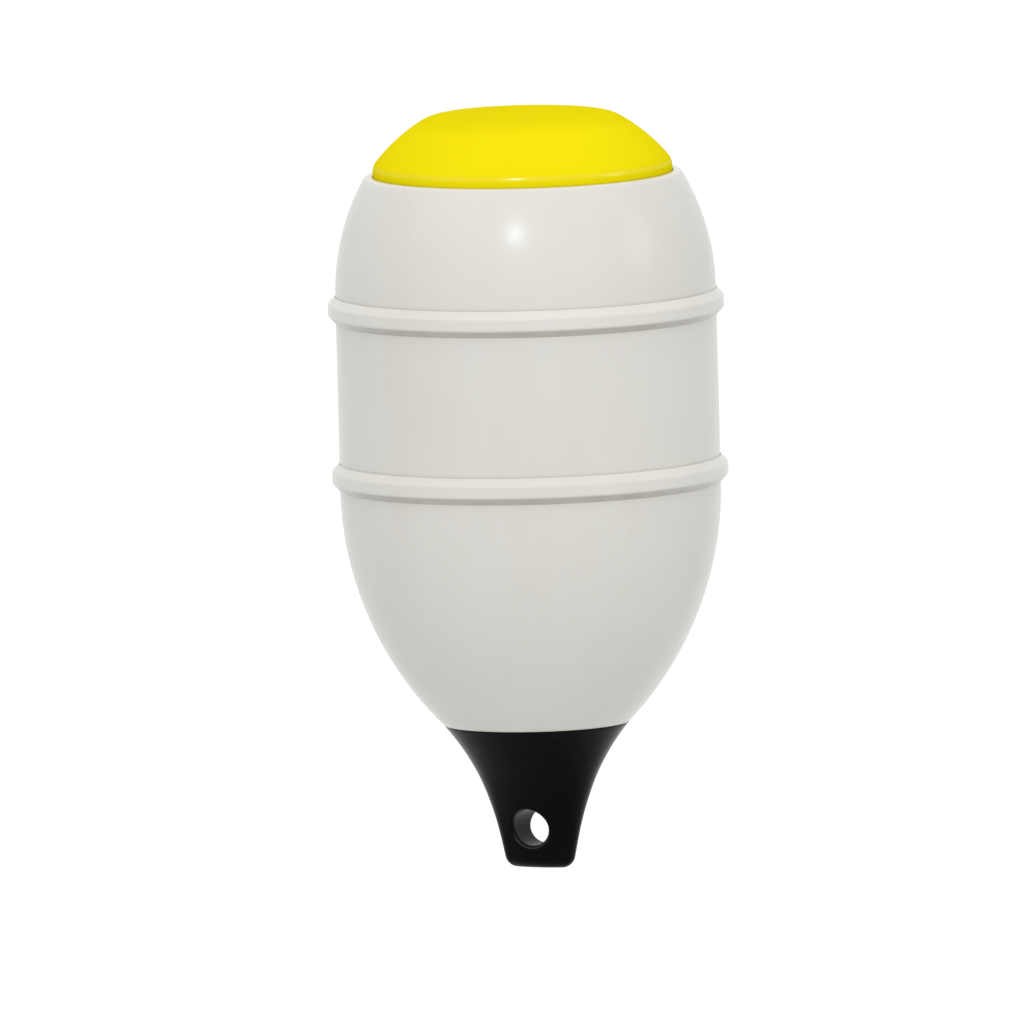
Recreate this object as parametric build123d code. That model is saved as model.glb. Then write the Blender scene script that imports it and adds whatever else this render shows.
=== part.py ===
from build123d import *
from math import cos, pi, radians, sin, sqrt
import os

# Fishing buoy in millimetres. Z is up along the hull's axis, and z = 0 is midway between the ribs.

# Hull: outside radius, shell, and the arcs its two ends are turned to
hull_radius = 150.0
hull_wall = 5.0
dome_curve = 185.2
cone_curve = 268.4

# Ribs: hoops that cover the two joints of the hull, each with a tongue in a groove
rib_pitch = 132.3
rib_height = 21.0
rib_stand = 6.0
rib_crest = 9.0
rib_edge = 3.0
groove_width = 12.0
groove_depth = 2.0

# Hull joints: rings on the barrel that the dome and the cone slide over
lap_length = 10.0
lap_wall = 4.0
lap_root = 8.0

# Mouth of the dome: a lip round the cap and a ledge the cap sits on
lip_inset = 25.6
lip_land = 6.0
lip_edge = 5.0
mouth_edge = 0.8
seat_depth = 6.0
seat_width = 15.0
seat_thickness = 5.0

# Cap: crown, shoulder and rim, measured from the lip, and the ring that enters the mouth
cap_rise = 48.0
cap_crown_dome = 1.5
cap_crown_radius = 72.2
cap_crown_edge = 32.0
cap_shoulder_curve = 139.0
cap_rim_rise = 7.6
cap_rim_edge = 4.5
cap_wall = 5.0
cap_ring_length = 14.0
cap_ring_wall = 4.0

# Nose: its round top meets the cone, and the plug above that enters the cone's socket
seam_radius = 73.3
socket_radius = 58.0
socket_depth = 30.0
plug_wall = 9.0
plug_end_gap = 1.0

# Sections of the nose below the seam: drop, half width and half thickness
nose_sections = [
    (9.0, 66.2, 65.4),
    (23.0, 57.0, 53.6),
    (41.0, 47.9, 39.5),
    (61.0, 40.7, 27.0),
    (82.0, 34.9, 18.0),
    (114.5, 27.8, 12.3),
]
nose_cheek_angle = 70.0
nose_foot_edge = 8.0

# Rope eye: a bore across the nose with rounded lips
eye_radius = 15.0
eye_height = 33.0
eye_lip = 2.5

# Clearance between curved faces that slide into one another
slide_fit = 0.3

# Heights that follow from the sizes above
joint_z = rib_pitch / 2
spring_z = joint_z + rib_height / 2
lip_z = spring_z + sqrt(dome_curve**2 - (dome_curve - lip_inset) ** 2)
seat_z = lip_z - seat_depth
seam_z = -spring_z - sqrt(cone_curve**2 - (cone_curve - hull_radius + seam_radius) ** 2)
eye_z = seam_z - nose_sections[-1][0] + eye_height

# Radii that follow from the sizes above
shell_radius = hull_radius - hull_wall
groove_radius = hull_radius - groove_depth
mouth_radius = hull_radius - lip_inset - lip_land
throat_radius = mouth_radius - seat_width


def turned(outline):
    """Solid turned about Z from a face drawn with x as radius and y as height."""
    return revolve(Plane.XZ * outline, axis=Axis.Z)


def rounded(outline, corner, radius):
    """Face with the corner nearest to a point rounded."""
    return fillet(outline.vertices().sort_by_distance(corner)[0], radius)


def arc_between(centre, radius, low, high):
    """Arc on the outer side of a centre from one height to another, with its two end points."""
    ends = [(centre[0] + sqrt(radius**2 - (z - centre[1]) ** 2), z) for z in (low, high)]
    middle = (low + high) / 2
    bulge = (centre[0] + sqrt(radius**2 - (middle - centre[1]) ** 2), middle)
    return ThreePointArc(ends[0], bulge, ends[1]), ends[0], ends[1]


def make_dome():
    """Upper shell: a skirt over the barrel's ring, the dome, and the mouth for the cap."""
    centre = (hull_radius - dome_curve, spring_z)
    outer, outer_low, outer_high = arc_between(centre, dome_curve, spring_z, lip_z)
    under_z = seat_z - seat_thickness
    inner, inner_low, inner_high = arc_between(centre, dome_curve - hull_wall, spring_z, under_z)
    groove_top = joint_z + groove_width / 2
    skirt = Polyline(
        inner_low,
        (shell_radius, joint_z),
        (groove_radius, joint_z),
        (groove_radius, groove_top),
        (hull_radius, groove_top),
        outer_low,
    )
    mouth = Polyline(
        outer_high,
        (mouth_radius, lip_z),
        (mouth_radius, seat_z),
        (throat_radius, seat_z),
        (throat_radius, under_z),
        inner_high,
    )
    outline = make_face([*skirt.edges(), outer, *mouth.edges(), inner])
    outline = rounded(outline, outer_high, lip_edge)
    return turned(rounded(outline, (mouth_radius, lip_z), mouth_edge))


def make_barrel():
    """Middle shell: a plain tube with half a groove and a lap ring at each end."""
    ring_radius = shell_radius - slide_fit
    ring_bore = ring_radius - lap_wall
    groove_low = joint_z - groove_width / 2
    half = Polyline(
        (shell_radius, 0),
        (hull_radius, 0),
        (hull_radius, groove_low),
        (groove_radius, groove_low),
        (groove_radius, joint_z),
        (ring_radius, joint_z),
        (ring_radius, joint_z + lap_length),
        (ring_bore, joint_z + lap_length),
        (ring_bore, joint_z - lap_root),
        (shell_radius, joint_z - lap_root - lap_wall),
        (shell_radius, 0),
    )
    upper = turned(make_face(half))
    return upper + mirror(upper, Plane.XY)


def make_cone():
    """Lower shell: a skirt over the barrel's ring, the ogive, and the socket for the nose."""
    centre = (hull_radius - cone_curve, -spring_z)
    outer, outer_low, outer_high = arc_between(centre, cone_curve, seam_z, -spring_z)
    socket_top = seam_z + socket_depth
    inner, inner_low, inner_high = arc_between(centre, cone_curve - hull_wall, socket_top, -spring_z)
    groove_low = -joint_z - groove_width / 2
    skirt = Polyline(
        outer_high,
        (hull_radius, groove_low),
        (groove_radius, groove_low),
        (groove_radius, -joint_z),
        (shell_radius, -joint_z),
        inner_high,
    )
    socket = Polyline(
        inner_low,
        (socket_radius, socket_top),
        (socket_radius, seam_z),
        outer_low,
    )
    return turned(make_face([outer, *skirt.edges(), inner, *socket.edges()]))


def make_rib():
    """Hoop of trapezoid section, centred on z = 0, with a tongue for the groove."""
    seat = hull_radius + slide_fit
    crest = hull_radius + rib_stand
    tongue = groove_width / 2 - slide_fit
    outline = make_face(
        Polyline(
            (groove_radius + slide_fit, -tongue),
            (seat, -tongue),
            (seat, -rib_height / 2),
            (crest, -rib_crest / 2),
            (crest, rib_crest / 2),
            (seat, rib_height / 2),
            (seat, tongue),
            (groove_radius + slide_fit, tongue),
            close=True,
        )
    )
    outline = rounded(outline, (crest, rib_crest / 2), rib_edge)
    return turned(rounded(outline, (crest, -rib_crest / 2), rib_edge))


def make_cap():
    """Domed cap: its rim stands on the ledge of the mouth and its ring goes down through it."""
    rim_radius = mouth_radius - slide_fit
    crown = (cap_crown_radius, lip_z + cap_rise - cap_crown_dome)
    rim = (rim_radius, lip_z + cap_rim_rise)
    top = (0, lip_z + cap_rise)
    edges = [
        ThreePointArc((-crown[0], crown[1]), top, crown),
        RadiusArc(crown, rim, cap_shoulder_curve),
        Line(rim, (rim_radius, seat_z)),
        Line((rim_radius, seat_z), (-rim_radius, seat_z)),
        Line((-rim_radius, seat_z), (-rim_radius, rim[1])),
        RadiusArc((-rim_radius, rim[1]), (-crown[0], crown[1]), cap_shoulder_curve),
    ]
    section = make_face(edges)
    for side in (-1, 1):
        section = rounded(section, (side * crown[0], crown[1]), cap_crown_edge)
        section = rounded(section, (side * rim[0], rim[1]), cap_rim_edge)
    hollow = offset(section, -cap_wall)
    right_half = Pos(hull_radius, lip_z) * Rectangle(2 * hull_radius, 4 * cap_rise)
    body = turned(section & right_half) - turned(hollow & right_half)

    ring_radius = throat_radius - slide_fit
    downwards = Align.CENTER, Align.CENTER, Align.MAX
    ring = Pos(0, 0, seat_z) * Cylinder(ring_radius, cap_ring_length, align=downwards)
    bore_top = Pos(0, 0, seat_z + cap_wall)
    bore = bore_top * Cylinder(ring_radius - cap_ring_wall, cap_ring_length + cap_wall, align=downwards)
    return body + ring - bore


def oval(half_width, half_thickness, level):
    """Face of four tangent arcs: two ends and two flatter cheeks."""
    c = cos(radians(nose_cheek_angle))
    s = sin(radians(nose_cheek_angle))
    end_radius = (half_thickness * c - half_width * (1 - s)) / (c + s - 1)
    x = half_width - end_radius * (1 - c)
    y = end_radius * s
    arcs = [
        ThreePointArc((x, -y), (half_width, 0), (x, y)),
        ThreePointArc((x, y), (0, half_thickness), (-x, y)),
        ThreePointArc((-x, y), (-half_width, 0), (-x, -y)),
        ThreePointArc((-x, -y), (0, -half_thickness), (x, -y)),
    ]
    return Plane.XY.offset(level) * make_face(arcs)


def make_nose():
    """Moulded nose: round at the cone, flattened to the rope eye, with a hollow plug above."""
    sections = [oval(seam_radius, seam_radius, seam_z)]
    for drop, half_width, half_thickness in nose_sections:
        sections.append(oval(half_width, half_thickness, seam_z - drop))
    body = loft(sections)
    body = fillet(body.faces().sort_by(Axis.Z)[0].edges(), nose_foot_edge)
    bore = Pos(0, 0, eye_z) * Rot(90, 0, 0) * Cylinder(eye_radius, 4 * seam_radius)
    body -= bore
    lips = [e for e in body.edges() if abs(e.length - 2 * pi * eye_radius) < eye_radius]
    body = fillet(lips, eye_lip)

    plug_radius = socket_radius - slide_fit
    plug_height = socket_depth - plug_end_gap
    upwards = Align.CENTER, Align.CENTER, Align.MIN
    plug = Pos(0, 0, seam_z) * Cylinder(plug_radius, plug_height, align=upwards)
    pocket = Pos(0, 0, seam_z) * Cylinder(plug_radius - plug_wall, plug_height, align=upwards)
    return body + (plug - pocket)


rib = make_rib()
pieces = {
    "top_cap": make_cap(),
    "hull_dome": make_dome(),
    "upper_rib": Pos(0, 0, joint_z) * rib,
    "hull_barrel": make_barrel(),
    "lower_rib": Pos(0, 0, -joint_z) * rib,
    "hull_cone": make_cone(),
    "nose_eye": make_nose(),
}

os.makedirs("parts", exist_ok=True)
for node, shape in pieces.items():
    export_step(shape, f"parts/{node}.step")
    box = shape.bounding_box()
    print(node, [round(v, 1) for v in (*box.min, *box.max)], round(shape.volume / 1000, 1), "cm3")
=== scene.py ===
import bmesh
import bpy
from math import asin, atan2, copysign, cos, degrees, pi, radians, sin, sqrt, tan
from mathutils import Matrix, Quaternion, Vector


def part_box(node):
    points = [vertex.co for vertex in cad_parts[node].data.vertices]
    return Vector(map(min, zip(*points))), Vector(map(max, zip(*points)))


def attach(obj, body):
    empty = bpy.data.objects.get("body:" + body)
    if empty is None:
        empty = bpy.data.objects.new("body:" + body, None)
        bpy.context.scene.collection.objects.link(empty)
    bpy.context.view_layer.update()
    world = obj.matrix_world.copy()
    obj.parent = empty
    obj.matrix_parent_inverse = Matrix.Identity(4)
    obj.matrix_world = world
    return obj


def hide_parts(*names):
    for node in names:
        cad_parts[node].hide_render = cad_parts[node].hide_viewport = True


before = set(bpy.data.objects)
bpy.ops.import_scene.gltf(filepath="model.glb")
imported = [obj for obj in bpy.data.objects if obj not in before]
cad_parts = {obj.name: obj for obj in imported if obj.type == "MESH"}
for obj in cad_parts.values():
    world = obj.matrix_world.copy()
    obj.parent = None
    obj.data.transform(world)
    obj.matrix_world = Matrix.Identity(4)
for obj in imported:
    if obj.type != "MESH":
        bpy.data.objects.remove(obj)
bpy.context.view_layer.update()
print("frame loaded:", len(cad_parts), "nodes")

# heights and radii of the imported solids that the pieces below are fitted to
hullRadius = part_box("hull_barrel")[1].x
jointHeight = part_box("hull_dome")[0].z
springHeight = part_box("upper_rib")[1].z
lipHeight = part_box("hull_dome")[1].z
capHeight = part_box("top_cap")[1].z
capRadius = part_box("top_cap")[1].x
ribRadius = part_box("upper_rib")[1].x
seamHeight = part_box("hull_cone")[0].z
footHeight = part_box("nose_eye")[0].z
eyeRise = 0.033  # middle of the rope eye over the foot
eyeHeight = footHeight + eyeRise


# one socket of a node tree; sums and products of sockets add Math nodes
class Wire:
    def __init__(self, tree, socket=None):
        self.tree = tree
        self.socket = socket

    def add(self, kind, settings=None, inputs=None, out=0):
        made = self.tree.nodes.new(kind)
        for name, value in (settings or {}).items():
            if name == "stops":
                ramp = made.color_ramp.elements
                while len(ramp) < len(value):
                    ramp.new(1.0)
                for stop, (place, colour) in zip(ramp, value):
                    stop.position = place
                    stop.color = (*colour, 1.0)
            else:
                setattr(made, name, value)
        for name, value in (inputs or {}).items():
            if isinstance(value, Wire):
                self.tree.links.new(value.socket, made.inputs[name])
            else:
                made.inputs[name].default_value = value
        return Wire(self.tree, made.outputs[out])

    def math(self, operation, *values):
        return self.add("ShaderNodeMath", dict(operation=operation), dict(enumerate(values)))

    def __add__(self, other):
        return self.math("ADD", self, other)

    def __sub__(self, other):
        return self.math("SUBTRACT", self, other)

    def __rsub__(self, other):
        return self.math("SUBTRACT", other, self)

    def __mul__(self, other):
        return self.math("MULTIPLY", self, other)

    __radd__ = __add__
    __rmul__ = __mul__

    def between(self, low, high):  # smooth rise from 0 to 1
        smooth = dict(interpolation_type="SMOOTHSTEP")
        return self.add("ShaderNodeMapRange", smooth, {0: self, 1: low, 2: high})

    def band(self, start, end):  # rises to 1 over start and falls to 0 over end
        return self.between(*start) * (1 - self.between(*end))

    def colour(self, first, second):  # self mixes two colours
        inputs = {0: self, 6: first, 7: second}
        return self.add("ShaderNodeMix", dict(data_type="RGBA"), inputs, out=2)


# plastics: colours from dull to fresh, the colour that dirt, wear and painted light are mixed towards,
# and the gloss
whitePlastic = dict(
    tones=[
        (0.25, (0.668, 0.653, 0.604)),
        (0.5, (0.700, 0.686, 0.640)),
        (0.75, (0.716, 0.703, 0.660)),
    ],
    dirtAndPaintedLight=(0.36, 0.345, 0.305, 1),
    roughness=0.235,
    specular=0.19,
    scuff=0.05,
)
# the ribs' white is the hull's, painted a little lighter as painted light on the ribs
ribPlasticPaintedLighter = dict(
    whitePlastic,
    tones=[
        (0.25, (0.682, 0.667, 0.617)),
        (0.5, (0.715, 0.701, 0.654)),
        (0.75, (0.731, 0.718, 0.674)),
    ],
)
yellowPlastic = dict(
    tones=[
        (0.25, (0.790, 0.664, 0.0030)),
        (0.5, (0.822, 0.695, 0.0035)),
        (0.75, (0.836, 0.712, 0.0045)),
    ],
    dirtAndPaintedLight=(0.42, 0.33, 0.012, 1),
    roughness=0.35,
    specular=0.0,
    coatRoughness=0.20,
    coatIor=3.0,
    scuff=0.05,
)
blackPlastic = dict(
    tones=[
        (0.25, (0.0016, 0.0016, 0.0017)),
        (0.5, (0.0021, 0.0021, 0.0022)),
        (0.75, (0.0028, 0.0028, 0.0028)),
    ],
    dirtAndPaintedLight=(0.035, 0.034, 0.032, 1),
    roughness=0.235,
    specular=0.035,
    scuff=0.10,
)

# patterns that all the plastics share: noise scale, detail and stretch along the axis
grain = dict(
    clouds=(9.0, 4.0, 1.0),
    streaks=(30.0, 3.0, 0.08),
    blotches=(55.0, 4.0, 1.0),
    scuffs=(160.0, 5.0, 0.25),
    pores=(650.0, 1.0, 1.0),
    ripples=(45.0, 2.0, 1.0),
)
scuffEdge = (0.62, 0.80)
toneShare = dict(clouds=0.6, streaks=0.4)
dirtAndPaintedLightShare = dict(even=0.7, blotches=0.6)
roughShare = dict(clouds=0.04, scuffs=0.02, dirtAndPaintedLight=0.02)
relief = dict(pores=0.5, ripples=2.0, scuffs=0.3, strength=0.25, depth=0.0001)


def plasticFinish(name, look, dirtAndPaintedLightOf, coatOf=None):
    material = bpy.data.materials.new(name)
    material.use_nodes = True
    tree = material.node_tree
    shader = tree.nodes["Principled BSDF"]
    shader.inputs["Specular IOR Level"].default_value = look["specular"]
    wire = Wire(tree)
    place = wire.add("ShaderNodeTexCoord", out="Object")
    x, y, z = (wire.add("ShaderNodeSeparateXYZ", {}, {0: place}, out=axis) for axis in "XYZ")

    def noise(pattern):
        scale, detail, stretch = grain[pattern]
        spot = wire.add("ShaderNodeMapping", {}, {"Vector": place, "Scale": (1, 1, stretch)})
        return wire.add("ShaderNodeTexNoise", {}, {"Vector": spot, "Scale": scale, "Detail": detail})

    clouds = noise("clouds")
    scuffs = noise("scuffs").between(*scuffEdge)

    tone = clouds * toneShare["clouds"] + noise("streaks") * toneShare["streaks"]
    base = wire.add("ShaderNodeValToRGB", dict(stops=look["tones"]), {0: tone})
    # this mask mixes in dirt and wear, and also painted shade on the hull, ribs and crown and a
    # painted highlight on the nose's lower lip
    dirtAndPaintedLight = dirtAndPaintedLightOf(wire, x, y, z) * (dirtAndPaintedLightShare["even"] + noise("blotches") * dirtAndPaintedLightShare["blotches"])
    base = (dirtAndPaintedLight + scuffs * look["scuff"]).colour(base, look["dirtAndPaintedLight"])
    tree.links.new(base.socket, shader.inputs["Base Color"])

    rough = look["roughness"] + (clouds - 0.5) * roughShare["clouds"]
    rough += scuffs * roughShare["scuffs"] + dirtAndPaintedLight * roughShare["dirtAndPaintedLight"]
    tree.links.new(rough.socket, shader.inputs["Roughness"])
    if coatOf:
        tree.links.new(coatOf(wire, x, y, z).socket, shader.inputs["Coat Weight"])
        shader.inputs["Coat Roughness"].default_value = look["coatRoughness"]
        shader.inputs["Coat IOR"].default_value = look["coatIor"]

    height = noise("pores") * relief["pores"] + noise("ripples") * relief["ripples"]
    height -= scuffs * relief["scuffs"]
    inputs = {"Strength": relief["strength"], "Distance": relief["depth"], "Height": height}
    bump = wire.add("ShaderNodeBump", {}, inputs)
    tree.links.new(bump.socket, shader.inputs["Normal"])
    return material


# dirt, wear, polish, painted shade and painted highlight: metres over which each begins or ends, and
# how strong it is
hullRibShadeAndSeamBands = dict(ribStart=(-0.001, 0.0), ribEnd=(0.0, 0.003), noseEnd=(0.0, 0.002), dirtAndPaintedLight=0.22)
ribUnderShadeBand = dict(underEnd=(-0.0062, -0.0044), dirtAndPaintedLight=0.6)
capWearAndShade = dict(
    lineEnd=(0.0004, 0.0016),
    line=0.3,
    crownShadeStart=(0.036, 0.046),
    crownShade=0.15,
    rimStart=(0.0045, 0.0060),
    rimEnd=(0.0076, 0.0098),
    rimCoat=0.10,
    flankStart=(0.008, 0.012),
    flankEnd=(0.036, 0.044),
    flankCoat=0.006,
)
noseWearAndLipHighlight = dict(
    boreEnd=(0.0151, 0.0157),
    bore=0.8,
    lipStart=(0.0158, 0.0164),
    lipEnd=(0.0170, 0.0178),
    lipTop=(-0.012, -0.002),
    lip=1.0,
    footEnd=(0.0, 0.006),
    foot=0.15,
)


def hullRibShadeAndSeamLine(wire, x, y, z):  # painted shade in the crease just over each rib; darker in the 2 mm over the nose seam
    aboveRib = z - wire.math("SIGN", z) * jointHeight - (springHeight - jointHeight)
    overRib = aboveRib.band(hullRibShadeAndSeamBands["ribStart"], hullRibShadeAndSeamBands["ribEnd"])
    overNose = 1 - (z - seamHeight).between(*hullRibShadeAndSeamBands["noseEnd"])
    return (overRib + overNose) * hullRibShadeAndSeamBands["dirtAndPaintedLight"]


def ribUnderShade(wire, x, y, z):  # painted shade: the under sides are darkened grey
    aboveMiddle = z - wire.math("SIGN", z) * jointHeight
    return (1 - aboveMiddle.between(*ribUnderShadeBand["underEnd"])) * ribUnderShadeBand["dirtAndPaintedLight"]


def capLineAndCrownShade(wire, x, y, z):  # darker in a thin line where the rim meets the dome, and painted shade on the crown
    rise = z - lipHeight
    line = 1 - rise.between(*capWearAndShade["lineEnd"])
    return line * capWearAndShade["line"] + rise.between(*capWearAndShade["crownShadeStart"]) * capWearAndShade["crownShade"]


def capCoat(wire, x, y, z):  # the rounded rim is polished, the crown has gone dull
    rise = z - lipHeight
    rim = rise.band(capWearAndShade["rimStart"], capWearAndShade["rimEnd"])
    flank = rise.band(capWearAndShade["flankStart"], capWearAndShade["flankEnd"])
    return rim * capWearAndShade["rimCoat"] + flank * capWearAndShade["flankCoat"]


def noseRubAndLipHighlight(wire, x, y, z):  # the rope has rubbed the eye; a painted highlight on its lower lip; lighter over the last 6 mm at the foot
    aboveEye = z - eyeHeight
    fromEye = wire.math("SQRT", x * x + aboveEye * aboveEye)
    bore = 1 - fromEye.between(*noseWearAndLipHighlight["boreEnd"])
    lip = fromEye.band(noseWearAndLipHighlight["lipStart"], noseWearAndLipHighlight["lipEnd"])
    lowerLipHighlight = lip * (1 - aboveEye.between(*noseWearAndLipHighlight["lipTop"]))
    foot = 1 - (z - footHeight).between(*noseWearAndLipHighlight["footEnd"])
    return bore * noseWearAndLipHighlight["bore"] + lowerLipHighlight * noseWearAndLipHighlight["lip"] + foot * noseWearAndLipHighlight["foot"]


hullFinish = plasticFinish("hullGlossWhite", whitePlastic, hullRibShadeAndSeamLine)
ribFinish = plasticFinish("ribGlossWhite", ribPlasticPaintedLighter, ribUnderShade)
capFinish = plasticFinish("capGlossYellow", yellowPlastic, capLineAndCrownShade, capCoat)
noseFinish = plasticFinish("noseGlossBlack", blackPlastic, noseRubAndLipHighlight)
print("finishes made")

sharpAngle = 50  # degrees past which an edge stays crisp


def finishPiece(mesh, name, node, material):
    data = bpy.data.meshes.new(name)
    mesh.to_mesh(data)
    mesh.free()
    data.shade_smooth()
    data.set_sharp_from_angle(angle=radians(sharpAngle))
    data.materials.append(material)
    piece = bpy.data.objects.new(name, data)
    bpy.context.scene.collection.objects.link(piece)
    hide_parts(node)
    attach(piece, "root")
    print(name, "made:", len(data.polygons), "faces")


def onlyVerts(items):
    return [item for item in items if isinstance(item, bmesh.types.BMVert)]


def onlyEdges(items):
    return [item for item in items if isinstance(item, bmesh.types.BMEdge)]


# half section of a turned piece, drawn with X as radius and Z as height
class Section:
    def __init__(self, radius, height, heading):
        self.mesh = bmesh.new()
        self.tip = self.first = self.mesh.verts.new((radius, 0, height))
        self.heading = heading

    def lineTo(self, radius, height, steps=1):
        step = (Vector((radius, 0, height)) - self.tip.co) / steps
        for _ in range(steps):
            self.tip = bmesh.ops.extrude_vert_indiv(self.mesh, verts=[self.tip])["verts"][0]
            bmesh.ops.translate(self.mesh, verts=[self.tip], vec=step)
        self.heading = degrees(atan2(step.z, step.x))

    def bend(self, curve, turn, steps):  # degrees, positive to the left
        ahead = radians(self.heading)
        centre = self.tip.co + Vector((-sin(ahead), 0, cos(ahead))) * copysign(curve, turn)
        sweep = dict(cent=centre, axis=(0, -1, 0), angle=radians(turn), steps=steps)
        self.tip = onlyVerts(bmesh.ops.spin(self.mesh, geom=[self.tip], **sweep)["geom_last"])[0]
        self.heading += turn

    def close(self):
        self.mesh.edges.new((self.tip, self.first))

    def turned(self, rounds=192):
        outline = self.mesh.verts[:] + self.mesh.edges[:]
        sweep = dict(cent=(0, 0, 0), axis=(0, 0, 1), angle=2 * pi, steps=rounds, use_merge=True)
        bmesh.ops.spin(self.mesh, geom=outline, **sweep)
        bmesh.ops.remove_doubles(self.mesh, verts=self.mesh.verts, dist=1e-6)
        bmesh.ops.recalc_face_normals(self.mesh, faces=self.mesh.faces)
        return self.mesh


# dome: skirt, shoulder and the mouth the cap stands in
dome = dict(
    wall=0.005,
    curve=0.1852,
    lipEdge=0.005,
    mouthGap=0.0003,
    mouthEdge=0.0008,
    seatDepth=0.006,
    seatWidth=0.015,
)


def makeDome():
    inner = dome["curve"] - dome["wall"]
    lipRise = lipHeight - springHeight - dome["lipEdge"]
    lipTurn = degrees(asin(lipRise / (dome["curve"] - dome["lipEdge"])))
    mouth = capRadius + dome["mouthGap"]
    throat = mouth - dome["seatWidth"]
    seat = lipHeight - dome["seatDepth"]
    under = seat - dome["wall"]
    underTurn = degrees(asin((under - springHeight) / inner))
    section = Section(hullRadius, jointHeight, 90)
    section.lineTo(hullRadius, springHeight, steps=4)
    section.bend(dome["curve"], lipTurn, steps=48)
    section.bend(dome["lipEdge"], 90 - lipTurn, steps=6)
    section.lineTo(mouth + dome["mouthEdge"], lipHeight, steps=2)
    section.bend(dome["mouthEdge"], 90, steps=6)
    section.lineTo(mouth, seat, steps=2)
    section.lineTo(throat, seat)
    section.lineTo(throat, under)
    section.lineTo(hullRadius - dome["curve"] + inner * cos(radians(underTurn)), under)
    section.heading = underTurn - 90
    section.bend(inner, -underTurn, steps=16)
    section.lineTo(hullRadius - dome["wall"], jointHeight)
    section.close()
    finishPiece(section.turned(), "domeShell", "hull_dome", hullFinish)


makeDome()

# barrel: the plain tube between the ribs
barrel = dict(wall=0.005)


def makeBarrel():
    inside = hullRadius - barrel["wall"]
    section = Section(hullRadius, -jointHeight, 90)
    section.lineTo(hullRadius, jointHeight, steps=24)
    section.lineTo(inside, jointHeight)
    section.lineTo(inside, -jointHeight)
    section.close()
    finishPiece(section.turned(), "barrelShell", "hull_barrel", hullFinish)


makeBarrel()

# cone: the ogive down to the seam, with the socket for the nose
cone = dict(wall=0.005, curve=0.2684, seamEdge=0.0006, socket=0.058, socketDepth=0.030)


def makeCone():
    inner = cone["curve"] - cone["wall"]
    drop = -springHeight - seamHeight
    seamTurn = degrees(asin((drop - cone["seamEdge"]) / (cone["curve"] - cone["seamEdge"])))
    socketTop = seamHeight + cone["socketDepth"]
    topTurn = degrees(asin((-springHeight - socketTop) / inner))
    section = Section(hullRadius, -jointHeight, -90)
    section.lineTo(hullRadius, -springHeight, steps=4)
    section.bend(cone["curve"], -seamTurn, steps=72)
    section.bend(cone["seamEdge"], seamTurn - 90, steps=4)
    section.lineTo(cone["socket"], seamHeight)
    section.lineTo(cone["socket"], socketTop)
    section.lineTo(hullRadius - cone["curve"] + inner * cos(radians(topTurn)), socketTop)
    section.heading = 90 - topTurn
    section.bend(inner, topTurn, steps=24)
    section.lineTo(hullRadius - cone["wall"], -jointHeight)
    section.close()
    finishPiece(section.turned(), "coneShell", "hull_cone", hullFinish)


makeCone()

# ribs: hoops of trapezoid section over the two joints
rib = dict(crest=0.009, edge=0.003, gap=0.0003)


def makeRib(name, node, middle):
    low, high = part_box(node)[0].z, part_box(node)[1].z
    seat = hullRadius + rib["gap"]
    flank = Vector((ribRadius - seat, (high - low - rib["crest"]) / 2))
    slope = degrees(atan2(flank.y, flank.x))
    tangent = rib["edge"] * tan(radians(90 - slope) / 2)
    reach = flank * (1 - tangent / flank.length)
    section = Section(seat, low, slope)
    section.lineTo(seat + reach.x, low + reach.y, steps=3)
    section.bend(rib["edge"], 90 - slope, steps=8)
    section.lineTo(ribRadius, middle + rib["crest"] / 2 - tangent, steps=4)
    section.bend(rib["edge"], 90 - slope, steps=8)
    section.lineTo(seat, high, steps=3)
    section.close()
    finishPiece(section.turned(), name, node, ribFinish)


makeRib("upperRib", "upper_rib", jointHeight)
makeRib("lowerRib", "lower_rib", -jointHeight)

# cap: bends from the middle of the crown to the rim, as curve, degrees and steps
cap = dict(
    wall=0.005,
    bends=[(1.7384, 2.1225, 12), (0.032, 29.3015, 20), (0.139, 19.5697, 20), (0.012, 39.0063, 16)],
    seatDepth=0.006,
)


def makeCap():
    section = Section(0, capHeight, 0)
    for curve, turn, steps in cap["bends"]:
        section.bend(curve, -turn, steps)
    rimTop = section.tip.co.z
    foot = lipHeight - cap["seatDepth"]
    section.lineTo(capRadius, foot, steps=4)
    section.lineTo(capRadius - cap["wall"], foot)
    section.lineTo(capRadius - cap["wall"], rimTop)
    for curve, turn, steps in reversed(cap["bends"]):
        section.bend(curve - cap["wall"], turn, steps)
    section.tip.co.x = 0  # the inner wall ends on the axis
    finishPiece(section.turned(), "capShell", "top_cap", capFinish)


makeCap()

# nose: sections below the seam as drop, half width and half thickness, and the rope eye
nose = dict(
    sections=[
        (0.0, 0.0733, 0.0733),
        (0.009, 0.0662, 0.0654),
        (0.023, 0.0570, 0.0536),
        (0.041, 0.0479, 0.0395),
        (0.061, 0.0407, 0.0270),
        (0.082, 0.0349, 0.0180),
        (0.1145, 0.0278, 0.0123),
    ],
    cheek=70.0,
    seamEdge=0.0006,
    footEdge=0.008,
    eyeRadius=0.015,
    eyeLip=0.0025,
    lipRun=1.6,  # where the bore starts, in lips from the cheek
    cell=0.0016,
    arcCells=32,
    flareCells=30,
    eyeCells=15,  # from the middle of the eye to where the cells are square again
    holeCells=9,  # and to the lip
    seamSteps=3,
    edgeSteps=8,
)


def quarterTurn(steps):
    return [pi / 2 * i / steps for i in range(steps + 1)]


def noseSlope(row, column):
    rows = nose["sections"]
    near, far = rows[max(row - 1, 0)], rows[min(row + 1, len(rows) - 1)]
    return (far[column] - near[column]) / (far[0] - near[0])


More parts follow.
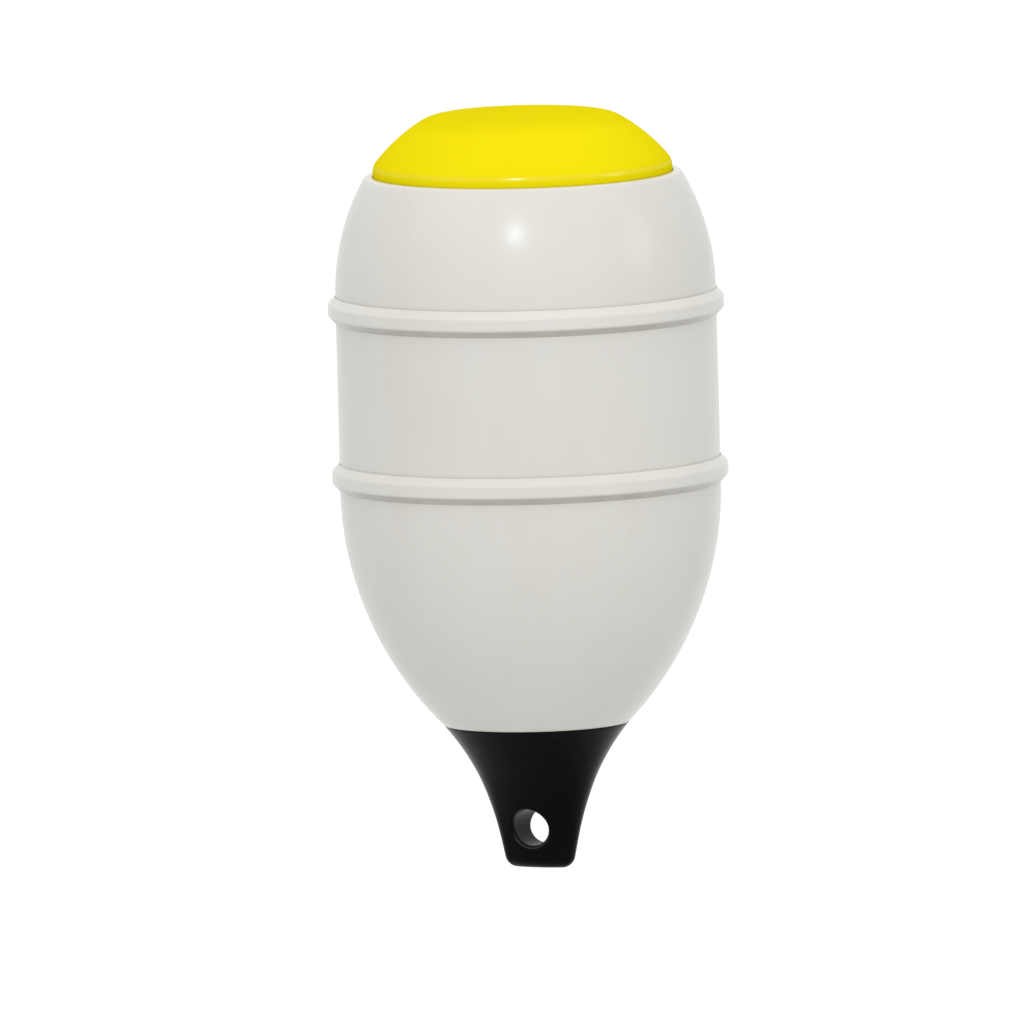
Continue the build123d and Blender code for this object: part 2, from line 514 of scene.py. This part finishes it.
def noseSection(drop):  # half width and half thickness, smooth from one section to the next
    rows = nose["sections"]
    row = max(i for i in range(len(rows) - 1) if rows[i][0] <= max(drop, 0))
    span = rows[row + 1][0] - rows[row][0]
    t = (drop - rows[row][0]) / span
    sizes = []
    for column in (1, 2):
        start, end = rows[row][column], rows[row + 1][column]
        rise = (end - start) * t * t * (3 - 2 * t)
        lean = noseSlope(row, column) * (1 - t) - noseSlope(row + 1, column) * t
        sizes.append(start + rise + span * t * (1 - t) * lean)
    return sizes


def noseArcs(width, thick):
    c, s = cos(radians(nose["cheek"])), sin(radians(nose["cheek"]))
    end = (thick * c - width * (1 - s)) / (c + s - 1)
    cheek = (thick * (1 - c) - width * s) / (1 - c - s)
    return end, cheek


def nosePoint(height, facing, inset=0.0):  # the point of the oval that faces this way
    width, thick = noseSection(seamHeight - height)
    end, cheek = noseArcs(width, thick)
    c, s = cos(radians(facing)), sin(radians(facing))
    if abs(s) > sin(radians(nose["cheek"])) + 1e-9:
        middle, radius = (0, copysign(1, s) * (thick - cheek)), cheek - inset
    else:
        middle, radius = (copysign(1, c) * (width - end), 0), end - inset
    return Vector((middle[0] + radius * c, middle[1] + radius * s, height))


def noseDepth(across, height):  # half thickness at a place on the cheek
    width, thick = noseSection(seamHeight - height)
    end, cheek = noseArcs(width, thick)
    if abs(across) < cheek * cos(radians(nose["cheek"])):
        return thick - cheek + sqrt(cheek**2 - across**2)
    return sqrt(end**2 - (abs(across) - width + end) ** 2)


def noseRings():  # height and inset of each ring from the seam down, and which is level with the eye
    cell, reach, flare = nose["cell"], nose["eyeCells"], nose["flareCells"]
    edge = nose["seamEdge"]
    turns = quarterTurn(nose["seamSteps"])
    rings = [(seamHeight - edge * (1 - cos(a)), edge * (1 - sin(a))) for a in turns]
    start, end = rings[-1][0], eyeHeight + cell * reach
    rings += [(start + (end - start) * i / flare, 0) for i in range(1, flare)]
    eyeRing = len(rings) + reach
    rings += [(eyeHeight + cell * j, 0) for j in range(reach, -reach - 1, -1)]
    edge = nose["footEdge"]
    turns = quarterTurn(nose["edgeSteps"])
    rings += [(footHeight + edge * (1 - sin(a)), edge * (1 - cos(a))) for a in turns]
    return rings, eyeRing


def squareAngle(i, j):  # angle on a circle for a cell on the edge of a square
    corner = pi / 4
    if abs(i) >= abs(j):
        return corner * j / i + (pi if i < 0 else 0)
    return copysign(pi / 2, j) - corner * i / j


def makeNose():
    tilt, count, cell = nose["cheek"], nose["arcCells"], nose["cell"]
    facings = []
    for start, sweep in ((-tilt, 2 * tilt), (tilt, 180 - 2 * tilt)):
        facings += [start + sweep * i / count for i in range(count)]
    facings += [facing + 180 for facing in facings]
    rings, eyeRing = noseRings()

    mesh = bmesh.new()
    column = mesh.verts.layers.int.new("column")
    row = mesh.verts.layers.int.new("row")
    ring = bmesh.ops.create_circle(mesh, segments=len(facings), radius=nose["eyeRadius"])["verts"]
    for i, vert in enumerate(ring):
        vert[column] = i
        vert.co = nosePoint(rings[0][0], facings[i], rings[0][1])
    edges = mesh.edges[:]
    for j, (height, inset) in enumerate(rings[1:], 1):
        grown = bmesh.ops.extrude_edge_only(mesh, edges=edges)["geom"]
        edges = onlyEdges(grown)
        for vert in onlyVerts(grown):
            vert[row] = j
            vert.co = nosePoint(height, facings[vert[column]], inset)
    bmesh.ops.holes_fill(mesh, edges=[item for item in mesh.edges if item.is_boundary])

    # the cells round the eye are drawn from a square to a circle
    inner, outer = nose["holeCells"], nose["eyeCells"]
    lipRadius = nose["eyeRadius"] + nose["eyeLip"]
    for side in (1, -1):
        middle = facings.index(90 if side > 0 else 270)
        opened = []
        for face in mesh.faces:
            spots = [(vert[column] - middle, vert[row] - eyeRing) for vert in face.verts]
            if len(spots) == 4 and all(max(abs(i), abs(j)) <= inner for i, j in spots):
                opened.append(face)
        for vert in mesh.verts:
            i, j = vert[column] - middle, eyeRing - vert[row]
            reach = max(abs(i), abs(j))
            if not inner <= reach <= outer:
                continue
            angle = squareAngle(i, j)
            share = (reach - inner) / (outer - inner)
            radius = lipRadius + (reach - inner) * cell
            x = -side * cos(angle) * radius * (1 - share) + vert.co.x * share
            z = (eyeHeight + sin(angle) * radius) * (1 - share) + vert.co.z * share
            vert.co = (x, side * noseDepth(x, z), z)
        bmesh.ops.delete(mesh, geom=opened, context="FACES")

    # rounded lips, then the bore between them
    turns = [(sin(a), 1 - cos(a)) for a in quarterTurn(nose["edgeSteps"])[1:]] + [(1, nose["lipRun"])]
    lips = []
    for side in (1, -1):
        edges = [item for item in mesh.edges if item.is_boundary and item.verts[0].co.y * side > 0]
        sunk = 0.0
        for inward, depth in turns:
            grown = bmesh.ops.extrude_edge_only(mesh, edges=edges)["geom"]
            edges = onlyEdges(grown)
            radius = lipRadius - nose["eyeLip"] * inward
            for vert in onlyVerts(grown):
                out = Vector((vert.co.x, vert.co.z - eyeHeight)).normalized() * radius
                y = vert.co.y - side * nose["eyeLip"] * (depth - sunk)
                vert.co = (out.x, y, eyeHeight + out.y)
            sunk = depth
        lips += edges
    bmesh.ops.bridge_loops(mesh, edges=lips)
    bmesh.ops.recalc_face_normals(mesh, faces=mesh.faces)
    finishPiece(mesh, "noseMoulding", "nose_eye", noseFinish)


makeNose()

# camera: degrees round and above the part, width of view, aim in the view and distance in metres
camera = dict(azimuth=27.0, elevation=6.0, roll=1.5, width=0.806, aim=(-0.0127, -0.0975), distance=4.0)


def directionFrom(azimuth, elevation):
    around, above = radians(azimuth), radians(elevation)
    return Vector((sin(around) * cos(above), -cos(around) * cos(above), sin(above)))


def makeCamera():
    back = directionFrom(camera["azimuth"], camera["elevation"])
    turn = (-back).to_track_quat("-Z", "Y") @ Quaternion((0, 0, 1), radians(-camera["roll"]))
    data = bpy.data.cameras.new("studioCamera")
    data.type = "ORTHO"
    data.ortho_scale = camera["width"]
    eye = bpy.data.objects.new("studioCamera", data)
    bpy.context.scene.collection.objects.link(eye)
    eye.rotation_mode = "QUATERNION"
    eye.rotation_quaternion = turn
    eye.location = turn @ Vector((*camera["aim"], camera["distance"]))
    bpy.context.scene.camera = eye


makeCamera()

# floor, lamps and the white room; the lift is what makes the floor look white
floorLook = dict(
    drop=0.20,
    size=14.0,
    colour=(0.72, 0.72, 0.72, 1),
    roughness=0.9,
    lift=(0.36, 0.36, 0.36, 1),
)
roomGlow = dict(even=0.03, up=1.14, front=0.43, back=0.31, left=0.14)  # sides as the camera sees them
lampAim = (0, 0, -0.05)
lamps = dict(  # degrees from the camera's bearing and above, metres away and across, watts, shadow
    key=(-6.0, 33.5, 2.5, 0.28, 12.5, False),  # a shadow would show as a dark band under the ribs
    right=(76.0, 20.0, 2.2, 0.8, 4.2, True),
)
whiteRays = ("Is Camera Ray", "Is Glossy Ray", "Is Transmission Ray")


def seenWhite(wire):  # 1 for what the camera sees, also in a reflection or through glass
    direct, mirrored, through = (wire.add("ShaderNodeLightPath", out=kind) for kind in whiteRays)
    return wire.math("MAXIMUM", wire.math("MAXIMUM", direct, mirrored), through)


def makeFloor():
    mesh = bmesh.new()
    bmesh.ops.create_grid(mesh, x_segments=1, y_segments=1, size=floorLook["size"])
    bmesh.ops.translate(mesh, verts=mesh.verts, vec=(0, 0, footHeight - floorLook["drop"]))
    data = bpy.data.meshes.new("studioFloor")
    mesh.to_mesh(data)
    mesh.free()
    material = bpy.data.materials.new("paleFloor")
    material.use_nodes = True
    shader = material.node_tree.nodes["Principled BSDF"]
    shader.inputs["Base Color"].default_value = floorLook["colour"]
    shader.inputs["Roughness"].default_value = floorLook["roughness"]
    shader.inputs["Specular IOR Level"].default_value = 0.0
    shader.inputs["Emission Strength"].default_value = 1.0
    lift = seenWhite(Wire(material.node_tree)).colour((0, 0, 0, 1), floorLook["lift"])
    material.node_tree.links.new(lift.socket, shader.inputs["Emission Color"])
    data.materials.append(material)
    floor = bpy.data.objects.new("studioFloor", data)
    bpy.context.scene.collection.objects.link(floor)


def makeLamps():
    for name, (bearing, rise, distance, size, watts, shadow) in lamps.items():
        away = directionFrom(camera["azimuth"] + bearing, rise)
        data = bpy.data.lights.new(name, "AREA")
        data.shape = "DISK"
        data.size = size
        data.energy = watts
        data.use_shadow = shadow
        lamp = bpy.data.objects.new(name, data)
        bpy.context.scene.collection.objects.link(lamp)
        lamp.location = Vector(lampAim) + away * distance
        lamp.rotation_mode = "QUATERNION"
        lamp.rotation_quaternion = (-away).to_track_quat("-Z", "Y")


def makeRoom():
    world = bpy.data.worlds.new("whiteRoom")
    world.use_nodes = True
    bpy.context.scene.world = world
    wire = Wire(world.node_tree)
    way = wire.add("ShaderNodeTexCoord", out="Generated")
    front = directionFrom(camera["azimuth"], 0)
    left = directionFrom(camera["azimuth"] - 90, 0)
    sides = dict(up=(0, 0, 1), front=front, back=-front, left=left)

    def towards(side):
        dot = dict(operation="DOT_PRODUCT")
        share = wire.add("ShaderNodeVectorMath", dot, {0: way, 1: side}, out="Value")
        return wire.math("MAXIMUM", share, 0.0)

    glow = sum((towards(side) * roomGlow[name] for name, side in sides.items()), roomGlow["even"])
    shown = seenWhite(wire).colour(glow, (1, 1, 1, 1))
    world.node_tree.links.new(shown.socket, world.node_tree.nodes["Background"].inputs["Color"])


makeFloor()
makeLamps()
makeRoom()
bpy.context.scene.view_settings.view_transform = "Standard"
print("studio set")
